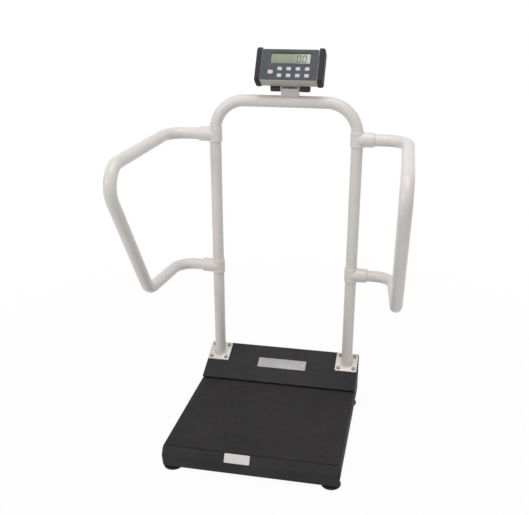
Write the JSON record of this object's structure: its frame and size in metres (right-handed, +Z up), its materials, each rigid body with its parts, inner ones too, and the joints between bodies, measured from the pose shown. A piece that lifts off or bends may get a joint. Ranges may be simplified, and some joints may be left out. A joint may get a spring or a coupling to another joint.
{
  "type": "platform scale",
  "caption": "Floor-standing platform scale: low weighing platform, tubular post hoop, looped handrails on both sides and a tilting keypad display on top.",
  "frame": {"origin": "on the floor, under the centre of the overall bounding box", "axes": "+Z up; the user steps on from -Y and the display faces -Y; +X is to the right of a person who faces the display"},
  "size_m": [0.9482, 0.6781, 1.3457],
  "materials": {
    "black_tray": "dark grey-black fine-textured powder coat",
    "black_mat": "matt black ribbed rubber",
    "cream_paint": "satin cream-white powder coat",
    "flange_steel": "satin warm silver",
    "dark_steel": "black oxide",
    "frame_steel": "grey primer",
    "aluminium": "milled",
    "zinc_steel": "bright zinc plated",
    "black_rubber": "moulded matt black",
    "shell_beige": "satin beige-silver coating",
    "panel_slate": "fine-textured slate film",
    "lcd_green": "grey-green display glass",
    "key_grey": "pale grey moulded",
    "board_green": "green solder mask",
    "battery_grey": "dark grey moulded",
    "knob_black": "black moulded",
    "cable_black": "black sheath",
    "plate_white": "bare white plate",
    "plate_silver": "bare silver plate"
  },
  "bodies": {
    "base": {"platform_tray": "black_tray", "rear_housing": "black_tray", "platform_mat": "black_mat", "frame_rail_left": "frame_steel", "frame_rail_right": "frame_steel", "frame_cross_front": "frame_steel", "frame_cross_middle": "frame_steel", "frame_cross_rear": "frame_steel", "post_bracket_left": "frame_steel", "post_bracket_right": "frame_steel", "load_cell_front_left": "aluminium", "load_cell_front_right": "aluminium", "load_cell_rear_left": "aluminium", "load_cell_rear_right": "aluminium", "post_flange_left": "flange_steel", "post_flange_right": "flange_steel", "flange_bolts_left": "dark_steel", "flange_bolts_right": "dark_steel", "post_hoop": "cream_paint", "sleeve_upper_left": "cream_paint", "sleeve_upper_right": "cream_paint", "sleeve_lower_left": "cream_paint", "sleeve_lower_right": "cream_paint", "handrail_left": "cream_paint", "handrail_right": "cream_paint", "neck_bracket": "shell_beige", "junction_box": "battery_grey", "signal_cable": "cable_black", "housing_plate": "plate_silver", "front_plate": "plate_white"},
    "display": {"tilt_yoke": "shell_beige", "display_shell": "shell_beige", "end_cap_left": "black_rubber", "end_cap_right": "black_rubber", "face_panel": "panel_slate", "lcd_module": "lcd_green", "circuit_board": "board_green", "battery_pack": "battery_grey", "rear_cover": "battery_grey", "display_gland": "cable_black"},
    "key_1": {"key_1": "key_grey"},
    "key_2": {"key_2": "key_grey"},
    "key_3": {"key_3": "key_grey"},
    "key_4": {"key_4": "key_grey"},
    "key_5": {"key_5": "key_grey"},
    "key_6": {"key_6": "key_grey"},
    "key_7": {"key_7": "key_grey"},
    "key_8": {"key_8": "key_grey"},
    "key_9": {"key_9": "key_grey"},
    "knob_left": {"tilt_knob_left": "knob_black"},
    "knob_right": {"tilt_knob_right": "knob_black"},
    "foot_front_left": {"foot_pad_front_left": "black_rubber"},
    "stud_front_left": {"foot_stud_front_left": "zinc_steel"},
    "foot_front_right": {"foot_pad_front_right": "black_rubber"},
    "stud_front_right": {"foot_stud_front_right": "zinc_steel"},
    "foot_rear_left": {"foot_pad_rear_left": "black_rubber"},
    "stud_rear_left": {"foot_stud_rear_left": "zinc_steel"},
    "foot_rear_right": {"foot_pad_rear_right": "black_rubber"},
    "stud_rear_right": {"foot_stud_rear_right": "zinc_steel"}
  },
  "joints": [
    {"name": "display_tilt", "type": "hinge", "parent": "base", "child": "display", "pos_m": [0.017, 0.2905, 1.211], "axis": [1, 0, 0], "range_deg": [-25, 25]},
    {"name": "key_1_press", "type": "slide", "parent": "display", "child": "key_1", "axis": [0, 0.8572, -0.515], "range_m": [0, 0.0008], "stiffness_N_per_m": 800, "springref_m": -0.0008},
    {"name": "key_2_press", "type": "slide", "parent": "display", "child": "key_2", "axis": [0, 0.8572, -0.515], "range_m": [0, 0.0008], "stiffness_N_per_m": 800, "springref_m": -0.0008},
    {"name": "key_3_press", "type": "slide", "parent": "display", "child": "key_3", "axis": [0, 0.8572, -0.515], "range_m": [0, 0.0008], "stiffness_N_per_m": 800, "springref_m": -0.0008},
    {"name": "key_4_press", "type": "slide", "parent": "display", "child": "key_4", "axis": [0, 0.8572, -0.515], "range_m": [0, 0.0008], "stiffness_N_per_m": 800, "springref_m": -0.0008},
    {"name": "key_5_press", "type": "slide", "parent": "display", "child": "key_5", "axis": [0, 0.8572, -0.515], "range_m": [0, 0.0008], "stiffness_N_per_m": 800, "springref_m": -0.0008},
    {"name": "key_6_press", "type": "slide", "parent": "display", "child": "key_6", "axis": [0, 0.8572, -0.515], "range_m": [0, 0.0008], "stiffness_N_per_m": 800, "springref_m": -0.0008},
    {"name": "key_7_press", "type": "slide", "parent": "display", "child": "key_7", "axis": [0, 0.8572, -0.515], "range_m": [0, 0.0008], "stiffness_N_per_m": 800, "springref_m": -0.0008},
    {"name": "key_8_press", "type": "slide", "parent": "display", "child": "key_8", "axis": [0, 0.8572, -0.515], "range_m": [0, 0.0008], "stiffness_N_per_m": 800, "springref_m": -0.0008},
    {"name": "key_9_press", "type": "slide", "parent": "display", "child": "key_9", "axis": [0, 0.8572, -0.515], "range_m": [0, 0.0008], "stiffness_N_per_m": 800, "springref_m": -0.0008},
    {"name": "knob_left_turn", "type": "hinge", "parent": "base", "child": "knob_left", "pos_m": [0.017, 0.2905, 1.211], "axis": [-1, 0, 0], "range_deg": [0, 360]},
    {"name": "knob_right_turn", "type": "hinge", "parent": "base", "child": "knob_right", "pos_m": [0.017, 0.2905, 1.211], "axis": [1, 0, 0], "range_deg": [0, 360]},
    {"name": "foot_front_left_extend", "type": "slide", "parent": "base", "child": "foot_front_left", "axis": [0, 0, -1], "range_m": [0, 0.012]},
    {"name": "stud_front_left_turn", "type": "hinge", "parent": "foot_front_left", "child": "stud_front_left", "pos_m": [-0.276, -0.3065, 0.02], "axis": [0, 0, -1], "range_deg": [0, 3000]},
    {"name": "foot_front_right_extend", "type": "slide", "parent": "base", "child": "foot_front_right", "axis": [0, 0, -1], "range_m": [0, 0.012]},
    {"name": "stud_front_right_turn", "type": "hinge", "parent": "foot_front_right", "child": "stud_front_right", "pos_m": [0.276, -0.3065, 0.02], "axis": [0, 0, -1], "range_deg": [0, 3000]},
    {"name": "foot_rear_left_extend", "type": "slide", "parent": "base", "child": "foot_rear_left", "axis": [0, 0, -1], "range_m": [0, 0.012]},
    {"name": "stud_rear_left_turn", "type": "hinge", "parent": "foot_rear_left", "child": "stud_rear_left", "pos_m": [-0.276, 0.235, 0.02], "axis": [0, 0, -1], "range_deg": [0, 3000]},
    {"name": "foot_rear_right_extend", "type": "slide", "parent": "base", "child": "foot_rear_right", "axis": [0, 0, -1], "range_m": [0, 0.012]},
    {"name": "stud_rear_right_turn", "type": "hinge", "parent": "foot_rear_right", "child": "stud_rear_right", "pos_m": [0.276, 0.235, 0.02], "axis": [0, 0, -1], "range_deg": [0, 3000]}
  ],
  "couplings": [
    {"joint": "stud_front_left_turn", "follows": "foot_front_left_extend", "rad_per_m": 4188.8},
    {"joint": "stud_front_right_turn", "follows": "foot_front_right_extend", "rad_per_m": 4188.8},
    {"joint": "stud_rear_left_turn", "follows": "foot_rear_left_extend", "rad_per_m": 4188.8},
    {"joint": "stud_rear_right_turn", "follows": "foot_rear_right_extend", "rad_per_m": 4188.8}
  ]
}
